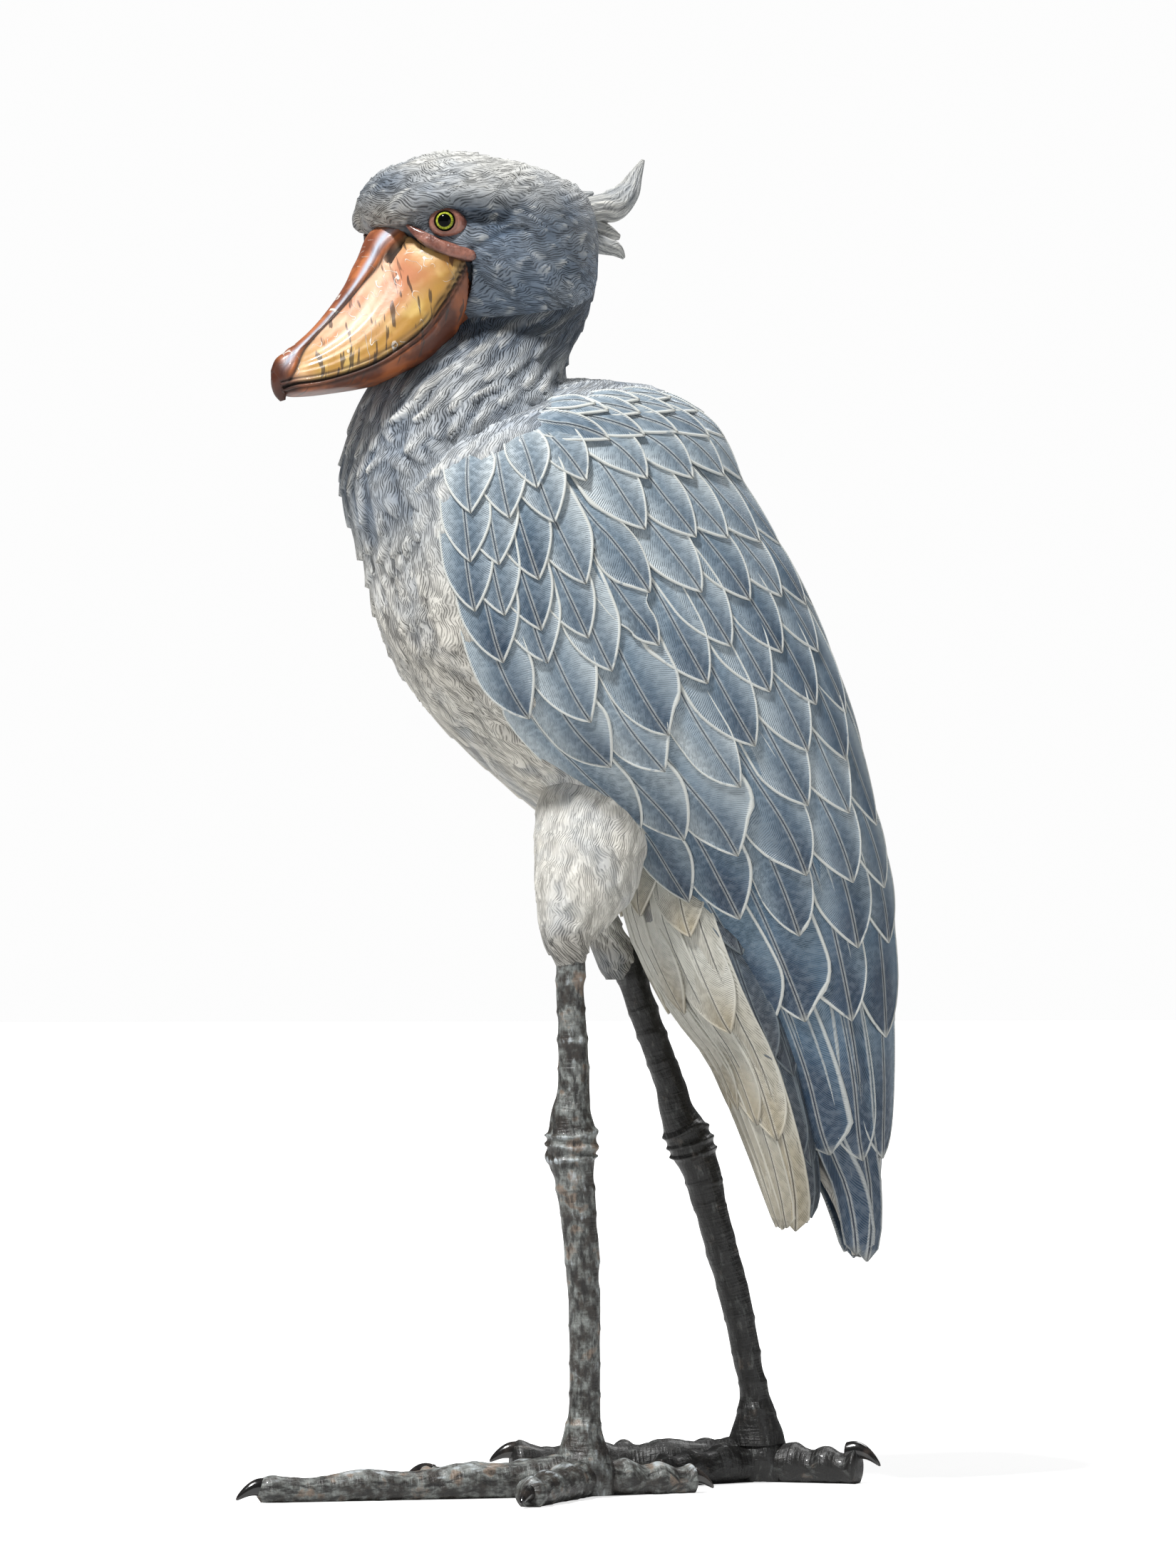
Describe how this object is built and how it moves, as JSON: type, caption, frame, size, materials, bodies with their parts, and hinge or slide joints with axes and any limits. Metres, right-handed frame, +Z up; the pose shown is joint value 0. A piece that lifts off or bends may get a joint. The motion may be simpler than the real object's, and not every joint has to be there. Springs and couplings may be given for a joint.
{
  "type": "shoebill figurine",
  "caption": "Standing wading-bird figurine with a broad hooked bill, carved overlapping wing feathers, thin jointed-looking legs and spread toes, cast hollow and painted.",
  "frame": {"origin": "middle of the object's box on the ground plane that its soles stand on", "axes": "+Z up, the bird faces -Y and its left side is +X"},
  "size_m": [0.1995, 0.2919, 0.5623],
  "materials": {
    "painted_plumage": "matte painted resin, slate blue in the hollows and off-white on the ridges",
    "painted_feathers": "satin painted resin, steel blue with off-white rims",
    "painted_bill": "gloss varnished resin, orange brown to ochre with dark streaks",
    "painted_legs": "satin painted resin, dark grey brown with pale blue-grey dry brushing",
    "painted_claws": "gloss black painted resin",
    "eye_glass": "polished glass eye, yellow-green with a black pupil"
  },
  "bodies": {
    "root": {"figure": "painted_plumage", "left_eye": "eye_glass", "right_eye": "eye_glass"}
  },
  "joints": []
}
